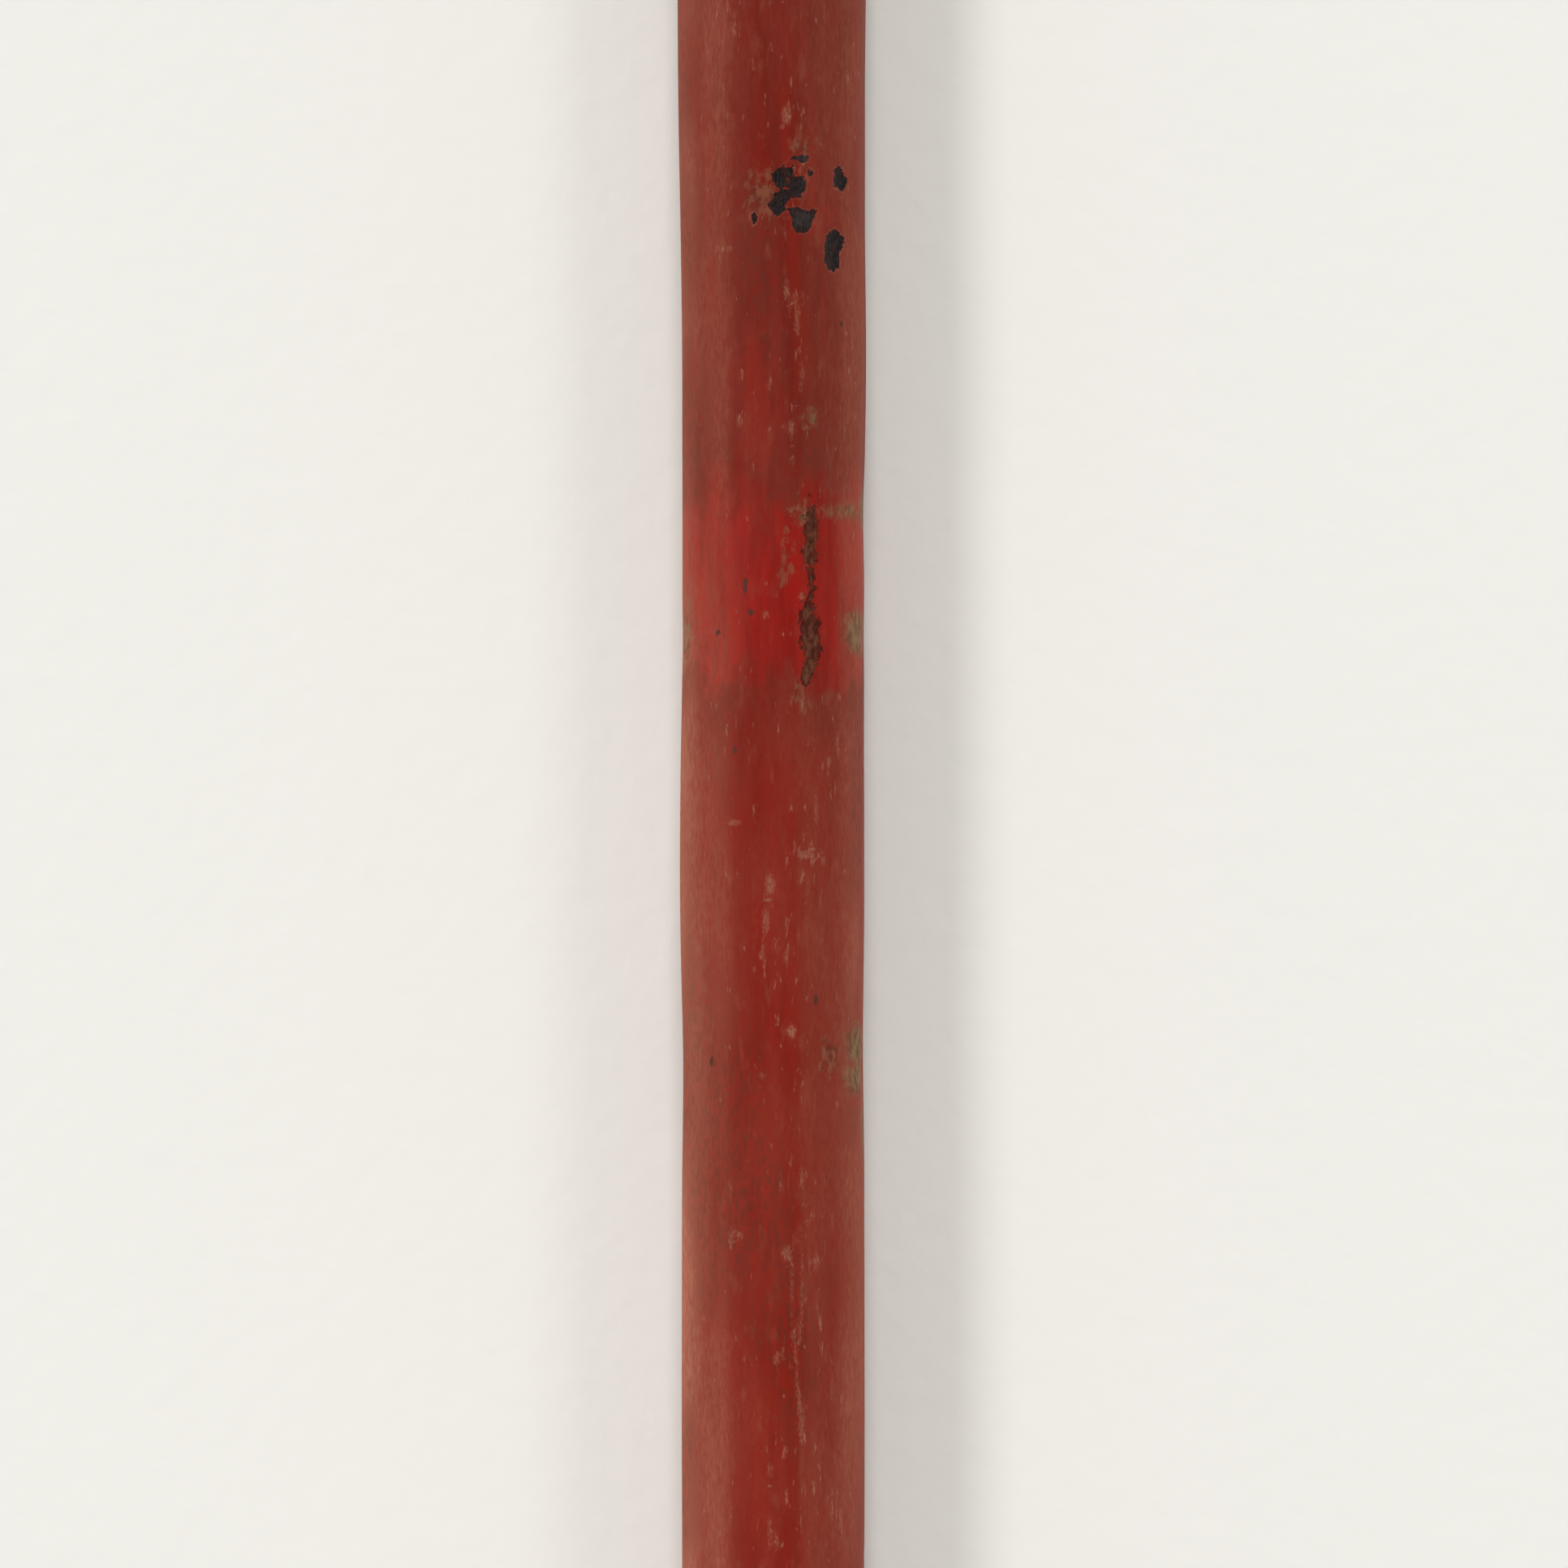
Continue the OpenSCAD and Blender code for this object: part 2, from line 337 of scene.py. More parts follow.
RUST_SCRAPES = [
    (-73.3, 1.3, 1.5, 0.9), (-34.9, 4.7, 0.9, 0.6), (-32.2, 4.6, 2.8, 1.8),
    (-29.6, 4.7, 5.0, 1.9), (-27.2, 4.8, 3.0, 1.7), (-25.0, 4.9, 3.8, 1.2),
    (-23.2, 4.7, 2.2, 0.9), (-20.4, 4.3, 4.4, 2.2), (-17.6, 4.5, 6.6, 2.9),
    (-14.6, 4.6, 3.0, 2.1), (-12.8, 4.0, 1.6, 1.0),
]
BROWN_SCUFFS = [
    (-71.8, -1.5, 5.2, 3.4), (-69.9, -1.0, 3.0, 2.6), (-77.2, 3.2, 2.0, 2.6),
    (-33.0, 3.2, 2.4, 1.6), (-28.4, 1.4, 3.6, 1.0), (33.4, 6.8, 4.6, 3.4),
    (-11.2, 3.6, 3.4, 1.6),
]
KHAKI_PATCHES = [
    (-33.1, 9.0, 1.2, 3.8), (-33.6, 11.0, 5.0, 4.4), (-18.4, 10.7, 5.2, 7.0),
    (-17.7, -10.7, 6.4, 1.8), (32.0, 10.7, 4.8, 6.4), (36.2, 10.4, 3.2, 4.8),
    (42.5, 11.0, 7.0, 2.4), (-32.5, 3.3, 1.2, 1.2), (-44.2, 4.9, 1.1, 1.2),
]
DARK_DOTS = [
    (-18.4, -7.0, 0.9, 0.8), (-20.8, -2.9, 0.8, 0.8), (-24.3, -3.6, 1.5, 0.5),
    (-4.0, -4.7, 0.9, 0.7), (33.8, -7.6, 1.1, 0.9), (-56.0, 8.2, 0.8, 0.6),
    (26.4, 5.0, 2.2, 0.6),
]
# Small pale marks in the enamel, most of them drawn out along the bar.
PALE_MARKS = [
    (-91.8, -4.7, 2.4, 0.5), (-86.1, 9.1, 1.6, 0.5), (-81.2, 1.9, 2.2, 1.2),
    (-73.7, 4.3, 0.9, 0.6), (-65.0, -6.7, 0.9, 0.6), (-65.1, -5.2, 0.6, 0.6),
    (-59.9, 1.9, 1.8, 0.5), (-56.2, 3.0, 2.8, 0.6), (-49.8, 3.2, 1.8, 0.4),
    (-53.5, 9.6, 1.2, 0.3), (-43.0, 2.1, 1.6, 0.5), (-39.2, 2.1, 1.0, 0.4),
    (-20.5, -1.1, 0.9, 0.6), (-22.8, 3.4, 0.9, 0.7), (-9.4, 3.5, 1.6, 0.6),
    (-4.8, 7.8, 2.0, 0.6), (4.8, -4.5, 0.8, 1.6), (3.0, 5.4, 3.0, 0.5),
    (8.7, 4.3, 1.0, 2.0), (9.4, 6.0, 0.9, 0.8), (12.3, -0.6, 2.4, 1.2),
    (16.8, -0.8, 3.0, 0.9), (21.2, 1.4, 1.4, 0.5), (30.2, 2.4, 1.4, 1.2),
    (35.6, -1.5, 0.7, 0.5), (48.0, 3.8, 1.9, 0.5), (48.9, 1.0, 1.2, 0.3),
    (52.6, 4.7, 0.8, 0.6), (53.5, 7.2, 1.6, 0.4), (57.2, 1.7, 1.7, 1.2),
    (58.2, 5.4, 1.8, 0.9), (61.9, 2.2, 5.4, 0.25), (60.9, 3.3, 4.4, 0.2),
    (55.0, -3.8, 0.8, 0.8), (55.4, -5.2, 1.8, 0.4), (65.6, 5.6, 1.4, 0.5),
    (71.5, 2.9, 3.0, 0.22), (69.9, 0.3, 1.4, 0.7), (73.8, 7.0, 2.4, 0.5),
    (78.0, 3.6, 4.4, 0.7), (83.5, -0.4, 1.2, 0.5), (90.8, -0.6, 2.8, 0.5),
    (92.2, 0.6, 1.2, 0.4), (88.5, 7.0, 3.4, 0.4), (90.0, 8.2, 2.8, 0.4),
]
# Wider stretches where such marks lie thick, and where the red shows through the dust.
MARKED_STRETCHES = [
    (-52.0, 3.0, 26.0, 2.2), (10.0, 4.0, 12.0, 4.0), (24.0, 1.0, 20.0, 3.0),
    (62.0, 4.4, 24.0, 5.0), (86.0, 4.0, 16.0, 9.0), (-78.0, 2.6, 8.0, 4.0),
    (-3.0, 7.0, 9.0, 3.0),
]
RED_STRETCHES = [
    (-46.0, -2.4, 18.0, 5.0), (-22.0, -1.5, 17.0, 6.0), (46.0, -1.4, 26.0, 4.0),
    (80.0, -1.6, 26.0, 3.4), (17.0, -0.6, 12.0, 2.0), (-68.0, 5.4, 6.0, 4.0),
]
# Dust that lies thick along the two edges.
DUST_STRETCHES = [(44.0, -9.2, 48.0, 3.4), (12.0, 9.8, 44.0, 2.2)]
# The bar isn't quite straight or even: (along, side, height, length), side being -1 for
# the bar's left edge in the view and 1 for its right.
SWELLINGS = [
    (-104.0, -1, 0.54, 56.0), (-104.0, 1, 0.12, 20.0), (9.0, -1, 0.32, 26.0),
    (-17.6, -1, -0.06, 6.0), (35.0, -1, -0.08, 16.0), (31.0, 1, -0.14, 18.0),
    (-52.0, 1, 0.20, 20.0), (-18.0, 1, -0.06, 6.0), (-33.0, 1, -0.12, 8.0),
]

# Where the two working ends are bare, worn metal, in mm.
CLAW_BARE, CHISEL_BARE = 13.0, 17.0     # how far back from the claw's tips and chisel's edge
SLOT_BARE, SLOT_BARE_BEYOND = 9.0, 5.0  # how far round the slot's middle, and past its root
SIDE_BARE, SIDE_BARE_MOST = 1.6, 2.5    # how far in from the two sides, and how bare they get
CLAW_SIDE_WORN, CHISEL_SIDE_WORN = 60.0, 70.0   # how far back the sides begin to wear
# The outsides of the two bends, which are rubbed, as (run, length, width, how bare).
RUBBED_BENDS = [
    (-0.86 * NECK_ARC, 15.0, 7.0, 3.4), (SHANK + 0.6 * CRANK_ARC, 12.0, 6.0, 2.2),
]
FAR = 9.0                               # a distance at which no wear shows

# How far the surface stands off the ideal one, in mm.
ROLLED, FORGED = 0.055, 0.02            # the shank's unevenness, and the drawn-down ends'
LONG_ROLLED = 0.10                      # slow changes of thickness along the bar
HAMMERED, DENTED = 0.26, 0.16           # marks on the drawn-down ends
FLASH, FLASH_HALF = 0.16, 0.7           # the forging seam along the sides of the two ends
CHIP_DEPTH, BARE_DEPTH = 0.17, 0.12
SCRAPE_DEPTH, SCRAPE_PITTING = 0.12, 0.22


def on_top(along, across):
    """The straightened place, in mm, of a point that is seen from above, along and across
    being distances from the middle of the view's stretch of shank."""
    run = SEEN_AT + along
    u, v = section_at(run).T
    roll = SETTLED.to_3x3().normalized()
    side, up = roll.col[1], roll.col[2]
    seen_across = -v * side.y + u * up.y
    facing = -v * side.z + u * up.z
    hidden = np.where(facing > 0, 0, 99)
    nearest = np.argmin(np.abs(seen_across - across) + hidden)
    return np.array([v[nearest], u[nearest], run])


def seen(spots):
    """The listed spots, as (place, length, width)."""
    return [(on_top(along, across), length, width) for along, across, length, width in spots]


def scattered(count, seed, sizes, ends=2.2, slender=(0.35, 0.9)):
    """Small groups of spots all over the bar, off the seen face. The larger ends is, the
    thicker they lie towards the bar's ends, and slender is the range of width to length."""
    draw = random.Random(seed)
    spots = []
    while len(spots) < count:
        share = draw.random() ** ends / 2
        share = share if draw.random() < 0.5 else 1 - share
        run = mix(CLAW_TIP, CHISEL_TIP, share)
        outline = section_at(run)
        u, v = outline[draw.randrange(len(outline))]
        length = draw.uniform(*sizes)
        width = length * draw.uniform(*slender)
        if abs(run - SEEN_AT) < HAND_PLACED_ZONE and u > 0:
            continue
        for _ in range(draw.choice([1, 2, 2, 3])):
            out_by, side_by, along_by = [draw.gauss(0, 0.25) * length for _ in range(3)]
            place = np.array([v + out_by * 0.4, u + side_by * 0.4, run + along_by])
            spots.append((place, length * draw.uniform(0.5, 1), width * draw.uniform(0.5, 1)))
    return spots


def distance_to(spots, places, ragged, seed):
    """How far each place is outside the nearest spot, in mm, and below 0 inside it. The
    spots' edges wander by about as much as ragged says."""
    search, ragged_within, lumps = 4, 3, 1.1
    nearest = np.full(len(places), FAR)
    for centre, length, width in spots:
        close = np.flatnonzero(np.abs(places[:, 2] - centre[2]) < length + search)
        off = places[close] - centre
        across = np.hypot(off[:, 0], off[:, 1]) / (width / 2)
        q = np.hypot(across, off[:, 2] / (length / 2))
        nearest[close] = np.minimum(nearest[close], (q - 1) * min(length, width) / 2)
    edge = np.flatnonzero(np.abs(nearest) < ragged_within)
    nearest[edge] += ragged * noise_at(places[edge], lumps, seed, octaves=3)
    return nearest


def inside_nearest(spots, places):
    """Each place as seen from the middle of the nearest spot: how far round the bar and how
    far along it, both in units that make the spot a circle, and the circle's radius."""
    search, furthest = 3, 1.5
    out = np.full((len(places), 3), FAR)
    out[:, 2] = -FAR
    best = np.full(len(places), furthest)
    for centre, length, width in spots:
        close = np.flatnonzero(np.abs(places[:, 2] - centre[2]) < length + search)
        off = places[close] - centre
        round_by = np.hypot(off[:, 0], off[:, 1])
        towards = np.sign(centre[0] * off[:, 1] - centre[1] * off[:, 0])
        along_by = off[:, 2] * width / length
        outside = np.hypot(round_by, along_by) - width / 2
        nearer = outside < best[close]
        chosen = close[nearer]
        best[chosen] = outside[nearer]
        out[chosen, 0] = (round_by * towards)[nearer]
        out[chosen, 1] = along_by[nearer]
        out[chosen, 2] = width / 2
    return out


def ridge_of(places):
    """1 along the corners of the octagon, where hands and racks rub, and 0 on its flats."""
    angle = np.degrees(np.arctan2(places[:, 1], places[:, 0]))
    from_corner = np.abs(angle % 45 - 22.5)
    return np.clip(1 - from_corner / 12, 0, 1)


def flank_dust_and_sheen_of(places):
    """Dust and a painted sheen round the bar, as a share: not on the upper and lower flats,
    more on the slanting ones, and most, as a painted highlight, where those meet the upright
    ones. The side away from the gooseneck's inside, lit by the stronger light, gets more."""
    angle = np.degrees(np.arctan2(np.abs(places[:, 0]), np.abs(places[:, 1])))
    # More painted sheen on the side that the stronger light falls on.
    side = np.where(places[:, 0] > 0, 0.77, 0.30)
    slanting = side * ease(angle, 17, 29)
    upright = (0.3 + 1.25 * side) * ease(angle, 44, 62) * (1 - 0.8 * ease(angle, 74, 88))
    return slanting + upright


def bare_of(places):
    """How far inside the bare, worn metal of the working ends and bends each place is, in
    mm."""
    v, u, run = places.T
    wide = drawn_down(run)[0]
    from_tips, from_edge = run - CLAW_TIP, CHISEL_TIP - run
    bare = np.maximum(CLAW_BARE - from_tips, CHISEL_BARE - from_edge)

    # Both shrink away from the ends: the worn faces beside the slot, and the two sides.
    slot = SLOT_BARE - from_tips * 0.16 - np.abs(u) * 0.85
    slot = np.where(from_tips > SLOT_LENGTH + SLOT_BARE_BEYOND, -FAR, slot)
    near_end = np.maximum(CLAW_SIDE_WORN - from_tips, CHISEL_SIDE_WORN - from_edge)
    side = np.abs(u) - (wide - SIDE_BARE) + near_end * 0.09 - 4.5
    bare = np.maximum(bare, np.maximum(slot, np.minimum(side, SIDE_BARE_MOST)))

    for middle, length, width, worn in RUBBED_BENDS:
        rubbed = worn - 5.0 * np.hypot((run - middle) / length, u / width)
        bare = np.maximum(bare, np.where(v > 0, rubbed, -FAR))
    return bare


def relief(places, chip, scrape, bare):
    """How far the real surface stands off the ideal one, in mm: uneven rolling along the
    shank, hammer marks where it is drawn down, and the depth of lost paint."""
    v, u, run = places.T
    wide, thick = drawn_down(run)[:2]
    worked = ease(HALF - thick, 0.3, 3.0)
    up = mix(ROLLED, FORGED, worked) * noise_at(places * [1, 1, 0.35], 9.0, seed=2.0)
    up += LONG_ROLLED * noise_at(places * [0.25, 0.25, 1], 60.0, seed=3.0, octaves=1)

    hit = np.flatnonzero(worked > 0.02)
    up[hit] += worked[hit] * HAMMERED * noise_at(places[hit], 11.0, seed=4.0)
    dents = np.clip(noise_at(places[hit] * [1.6, 1, 1], 5.0, seed=5.0, octaves=1), 0.1, 1)
    up[hit] -= worked[hit] * DENTED * dents

    for along, side, height, length in SWELLINGS:
        reach = np.clip(1 - ((run - SEEN_AT - along) / length) ** 2, 0, 1) ** 2
        up += height * reach * np.clip(-side * v / HALF, 0, 1) ** 0.5

    on_side = np.abs(u) > wide * 0.9
    seam = np.exp(-((v / FLASH_HALF) ** 2)) * ease(worked, 0.4, 1) * on_side
    up += FLASH * seam * (noise_at(places, 4.0, seed=6.0, octaves=1) > -0.2)

    up -= CHIP_DEPTH * ease(-chip, -0.05, 0.35)
    rough = 0.5 + 0.5 * noise_at(places, 0.9, seed=7.0)
    up -= (SCRAPE_DEPTH + SCRAPE_PITTING * rough) * ease(-scrape, -0.1, 0.5)
    up -= BARE_DEPTH * ease(bare, -0.2, 0.8)
    return up


def wear_at(places):
    """What each kind of wear measures at each place, by the name of its attribute."""
    chips = seen(BLACK_CHIPS) + scattered(90, 11, (1.2, 5.5))
    scrapes = seen(RUST_SCRAPES) + scattered(60, 12, (3.0, 13.0), 3.0, (0.12, 0.32))
    khaki = seen(KHAKI_PATCHES) + scattered(50, 13, (2, 7))
    dots = seen(DARK_DOTS) + scattered(60, 14, (0.5, 1.1), 1.2)
    fresh = seen(RED_STRETCHES) + scattered(40, 16, (8, 30), 1.2)
    marks = seen(PALE_MARKS) + scattered(160, 17, (0.8, 4.5), 1.6, (0.1, 0.5))
    return {
        "chip": distance_to(chips, places, ragged=0.3, seed=1.0),
        "scrape": distance_to(scrapes, places, ragged=0.7, seed=2.0),
        "scuff": distance_to(seen(BROWN_SCUFFS), places, ragged=1.2, seed=3.0),
        "khaki": distance_to(khaki, places, ragged=0.7, seed=4.0),
        "dot": distance_to(dots, places, ragged=0.15, seed=5.0),
        "marked": distance_to(seen(MARKED_STRETCHES), places, ragged=1.5, seed=6.0),
        "fresh": distance_to(fresh, places, ragged=1.5, seed=8.0),
        "mark": inside_nearest(marks, places),
        "dusted": distance_to(seen(DUST_STRETCHES), places, ragged=1.0, seed=9.0),
        "bare": bare_of(places),
        "ridge": ridge_of(places),
        "flank_dust_and_sheen": flank_dust_and_sheen_of(places),
    }


def read_vectors(items, name):
    """What each item has under that name, as rows of three numbers."""
    values = np.empty(len(items) * 3, np.float32)
    items.foreach_get(name, values)
    return values.reshape(-1, 3).astype(float)


def put_attribute(mesh, name, values):
    """Stores a number or a vector at every vertex, for the material to read."""
    values = np.asarray(values, np.float32)
    vector = values.ndim == 2
    mesh.attributes.new(name, "FLOAT_VECTOR" if vector else "FLOAT", "POINT")
    mesh.attributes[name].data.foreach_set("vector" if vector else "value", values.ravel())


def make_bar():
    """The whole forging as one skin, with its wear measured at every point."""
    runs = ring_runs()
    rings = stood_on_line(runs, sections(*drawn_down(runs)))
    bar = skin("wrecking_bar", rings, 2 * CORNER_STEPS + FLAT_STEPS)
    cut(bar, slot_cutter())
    mesh = bar.data
    points = read_vectors(mesh.vertices, "co")
    normals = read_vectors(mesh.vertex_normals, "vector")

    places = straighten(points)
    wear = wear_at(places)
    up = relief(places, wear["chip"], wear["scrape"], wear["bare"])
    points += normals * up[:, None]
    mesh.vertices.foreach_set("co", settled(points).astype(np.float32).ravel())
    put_attribute(mesh, "straight", places)
    for name, values in wear.items():
        put_attribute(mesh, name, values)
    mesh.update()
    mesh.shade_smooth()
    mesh.set_sharp_from_angle(angle=math.radians(38))
    return bar


# -------------------------------------------------------------------------------- colours
def srgb(red, green, blue):
    """A linear colour from 8-bit screen values."""
    screen = [c / 255 for c in (red, green, blue)]
    linear = [c / 12.92 if c < 0.04045 else ((c + 0.055) / 1.055) ** 2.4 for c in screen]
    return (*linear, 1.0)


# Where there are two colours, a noise runs between them.
ENAMEL = srgb(114, 20, 5), srgb(131, 23, 7)
ENAMEL_MOTTLE = srgb(122, 19, 5)
ENAMEL_FRESH = srgb(142, 27, 13)
ENAMEL_LOWER = srgb(148, 28, 9)
ENAMEL_CLEAN = srgb(141, 11, 3), srgb(160, 14, 3)
ENAMEL_BROKEN = srgb(150, 82, 66)
# Dust colour, which on the flanks also paints a sheen.
DUST_AND_SHEEN = srgb(181, 120, 98)
DUST_CLOUD = srgb(150, 84, 64)
# Soot colour, also used as painted shade on one side.
SOOT_AND_SHADE = srgb(84, 42, 30)
PALE_MARK = srgb(144, 88, 66), srgb(180, 126, 104)
DARK_NICK = srgb(66, 32, 24)
KHAKI_FILM = srgb(108, 76, 53), srgb(139, 115, 82)
BROWN_SCUFF = srgb(94, 44, 33), srgb(136, 84, 60)
BLACK_COAT = srgb(25, 23, 24), srgb(50, 42, 40)
BLACK_STAINED = srgb(60, 36, 32)
BLACK_RIM = srgb(58, 26, 22)
DARK_DOT = srgb(78, 50, 40)
RUST = srgb(61, 32, 24), srgb(107, 67, 47)
RUST_RIM = srgb(54, 26, 20)
MILL_SCALE = srgb(70, 62, 56), srgb(104, 88, 74)
BRIGHT_STEEL = srgb(126, 120, 113), srgb(182, 177, 170)
RUST_STAIN = srgb(108, 64, 40)
RUST_PIT = srgb(58, 46, 38)
FLOOR_PAINT = srgb(236, 235, 229), srgb(239, 238, 232)
ROOM_LIGHT = (1.0, 0.99, 0.965, 1.0)


# ------------------------------------------------------------------------------ materials
class Nodes:
    """Short names for the shader nodes that the materials are made of."""

    def __init__(self, name):
        self.material = bpy.data.materials.new(name)
        self.material.use_nodes = True
        self.tree = self.material.node_tree
        self.shader = self.tree.nodes["Principled BSDF"]

    def put(self, kind, inputs=(), **settings):
        """A new node. An input given a socket is linked to it, and any other is set."""
        node = self.tree.nodes.new(kind)
        for key, value in settings.items():
            setattr(node, key, value)
        for key, value in dict(inputs).items():
            if isinstance(value, bpy.types.NodeSocket):
                self.tree.links.new(value, node.inputs[key])
            else:
                node.inputs[key].default_value = value
        return node

    def shade(self, name, value):
        """Links a value to the shader's input of that name."""
        self.tree.links.new(value, self.shader.inputs[name])

    def attribute(self, name, output="Fac"):
        return self.put("ShaderNodeAttribute", attribute_name=name).outputs[output]

    def parts(self, vector):
        return self.put("ShaderNodeSeparateXYZ", {0: vector}).outputs

    def math(self, operation, *values):
        return self.put("ShaderNodeMath", enumerate(values), operation=operation).outputs[0]

    def plus(self, a, b):
        return self.math("ADD", a, b)

    def minus(self, a, b):
        return self.math("SUBTRACT", a, b)

    def times(self, a, b):
        return self.math("MULTIPLY", a, b)

    def times_plus(self, a, b, c):
        return self.math("MULTIPLY_ADD", a, b, c)

    def swing(self, value, amount, middle=0.5):
        """Noise moved to both sides of 0, and made that much stronger."""
        return self.times(self.minus(value, middle), amount)

    def noise(self, vector, scale, detail=3.0, roughness=0.55, offset=0.0):
        """Noise from 0 to 1 with its middle at 0.5. Its scale is lumps per unit on each
        axis, and its offset keeps it from lying on another noise."""
        inputs = {0: vector, 1: scale, 2: (offset, offset * 0.7, offset * 1.3)}
        moved = self.put("ShaderNodeVectorMath", inputs, operation="MULTIPLY_ADD").outputs[0]
        inputs = {"Vector": moved, "Scale": 1.0, "Detail": detail, "Roughness": roughness}
        return self.put("ShaderNodeTexNoise", inputs).outputs["Fac"]

    def step(self, value, low, high, to_low=0.0, to_high=1.0):
        """A smooth step: to_low where the value is at low, and to_high where at high."""
        inputs = {"Value": value, "From Min": low, "From Max": high,
                  "To Min": to_low, "To Max": to_high}
        return self.put("ShaderNodeMapRange", inputs, interpolation_type="SMOOTHSTEP").outputs[0]

    def blend(self, share, a, b):
        """Colour a where the share is 0, and b where it is 1."""
        inputs = {0: share, 6: a, 7: b}
        return self.put("ShaderNodeMix", inputs, data_type="RGBA", clamp_factor=True).outputs[2]

    def blend_number(self, share, a, b):
        return self.put("ShaderNodeMix", {0: share, 2: a, 3: b}, clamp_factor=True).outputs[0]

    def tones(self, value, low, high, colours):
        """The first colour where the value is at low, and the second where at high."""
        return self.blend(self.step(value, low, high), *colours)

    def bump(self, height, distance, strength):
        inputs = {"Height": height, "Distance": distance, "Strength": strength}
        return self.put("ShaderNodeBump", inputs).outputs[0]


class WornPaint(Nodes):
    """Red enamel over a black base coat over steel. Dust, chips, rust and bare metal lie on it,
    and a painted sheen and painted shade lie on its flanks. Lengths are in mm. Each method
    from enamel to bare_ends lays one layer on the last."""

    def __init__(self):
        super().__init__("worn_red_paint")
        at = self.attribute("straight", "Vector")
        self.at = at
        self.out, _, along = self.parts(at)
        self.grain = self.noise(at, (2.4, 2.4, 0.7), 4, 0.65)
        self.streak = self.noise(at, (0.62, 0.62, 0.08), 3, 0.55, 7.0)
        self.mottle = self.noise(at, (0.16, 0.16, 0.05), 3, 0.6, 13.0)
        self.patch = self.noise(at, (0.07, 0.07, 0.025), 2, 0.5, 23.0)
        self.speck = self.noise(at, (6.0, 6.0, 2.2), 2, 0.6, 31.0)
        self.cloud = self.noise(at, (0.55, 0.55, 0.2), 4, 0.6, 37.0)
        self.crumbs = self.noise(at, (4.5, 4.5, 1.8), 2, 0.6, 83.0)
        self.lumps = self.noise(at, (1.3, 1.3, 0.7), 3, 0.65, 29.0)
        self.fine = self.swing(self.noise(at, (2.0, 2.0, 1.7), 3, 0.6, 19.0), 1.1)

        # How far along from the middle of the view, wandering a little, and the one band
        # across the shank that a strap kept clean.
        wander = self.step(self.noise(at, (0.2, 0.2, 0.12), 3, 0.6, 41.0), 0.25, 0.75, -4.5, 4.5)
        self.moved = self.plus(self.minus(along, SEEN_AT), wander)
        band_starts = self.step(self.moved, -39.5, -29.5)
        self.clean = self.times(band_starts, self.step(self.moved, -10.5, -17.0))

    def in_band(self, outside, inside):
        """A value for outside the clean band and another for inside it."""
        return self.step(self.clean, 0.0, 1.0, outside, inside)

    def enamel(self):
        """The enamel, with brush-like streaks, brighter in the clean band."""
        red = self.tones(self.streak, 0.34, 0.66, ENAMEL)
        red = self.blend(self.step(self.mottle, 0.35, 0.7), red, ENAMEL_MOTTLE)
        fresh = self.times_plus(self.minus(self.streak, 0.5), -6.0, self.attribute("fresh"))
        red = self.blend(self.times(self.step(fresh, 1.2, -1.6), 0.7), red, ENAMEL_FRESH)
        lower = self.times(self.step(self.moved, -18.0, 6.0), 0.45)
        red = self.blend(lower, red, ENAMEL_LOWER)
        bright = self.tones(self.streak, 0.35, 0.62, ENAMEL_CLEAN)
        return self.blend(self.times(self.clean, 0.92), red, bright)

    def dust_and_sheen(self, paint):
        """Dust, which settles in the grain and lies thinner in the clean band, and a painted sheen
        in the same colour on the flanks.
        """
        dust_and_sheen_share = self.times_plus(self.step(self.mottle, 0.3, 0.72), 0.10, 0.02)
        # This share paints a sheen and a highlight along the limbs. Dust lies there too.
        flank_dust_and_sheen = self.times(self.attribute("flank_dust_and_sheen"), self.step(self.moved, -30.0, 8.0, 0.92, 1.3))
        dust_and_sheen_share = self.times_plus(flank_dust_and_sheen, self.step(self.patch, 0.35, 0.6, 0.17, 0.28), dust_and_sheen_share)
        thick = self.step(self.attribute("dusted"), 1.2, -1.2)
        dust_and_sheen_share = self.times_plus(thick, 0.17, dust_and_sheen_share)
        dust_and_sheen_share = self.times(dust_and_sheen_share, self.step(self.grain, 0.3, 0.7, 0.65, 1.2))
        kept = self.step(self.out, -6.0, 7.0, 0.25, 1.1)
        kept = self.plus(kept, self.step(self.out, -7.8, -9.2, 0.0, 0.65))
        self.dust_and_sheen_share = self.times(dust_and_sheen_share, self.in_band(1.0, kept))
        paint = self.blend(self.dust_and_sheen_share, paint, DUST_AND_SHEEN)
        clouded = self.times(self.step(self.cloud, 0.54, 0.72), self.in_band(0.32, 0.16))
        return self.blend(clouded, paint, DUST_CLOUD)

    def soot_and_shade(self, paint):
        """Soot in patches, and painted shade along the side towards the gooseneck's inside, which
        faces the weaker light.
        """
        soot_and_shade = self.times(self.step(self.patch, 0.5, 0.36), self.step(self.grain, 0.42, 0.6))
        soot_and_shade = self.times(soot_and_shade, self.in_band(0.4, 0.1))
        # Painted shade on the slanting face towards the gooseneck's inside.
        inner_half = self.step(self.out, -2.5, -6.0)
        painted_shade = self.times(inner_half, self.step(self.out, -10.8, -8.5))
        return self.blend(self.times_plus(painted_shade, 0.13, soot_and_shade), paint, SOOT_AND_SHADE)

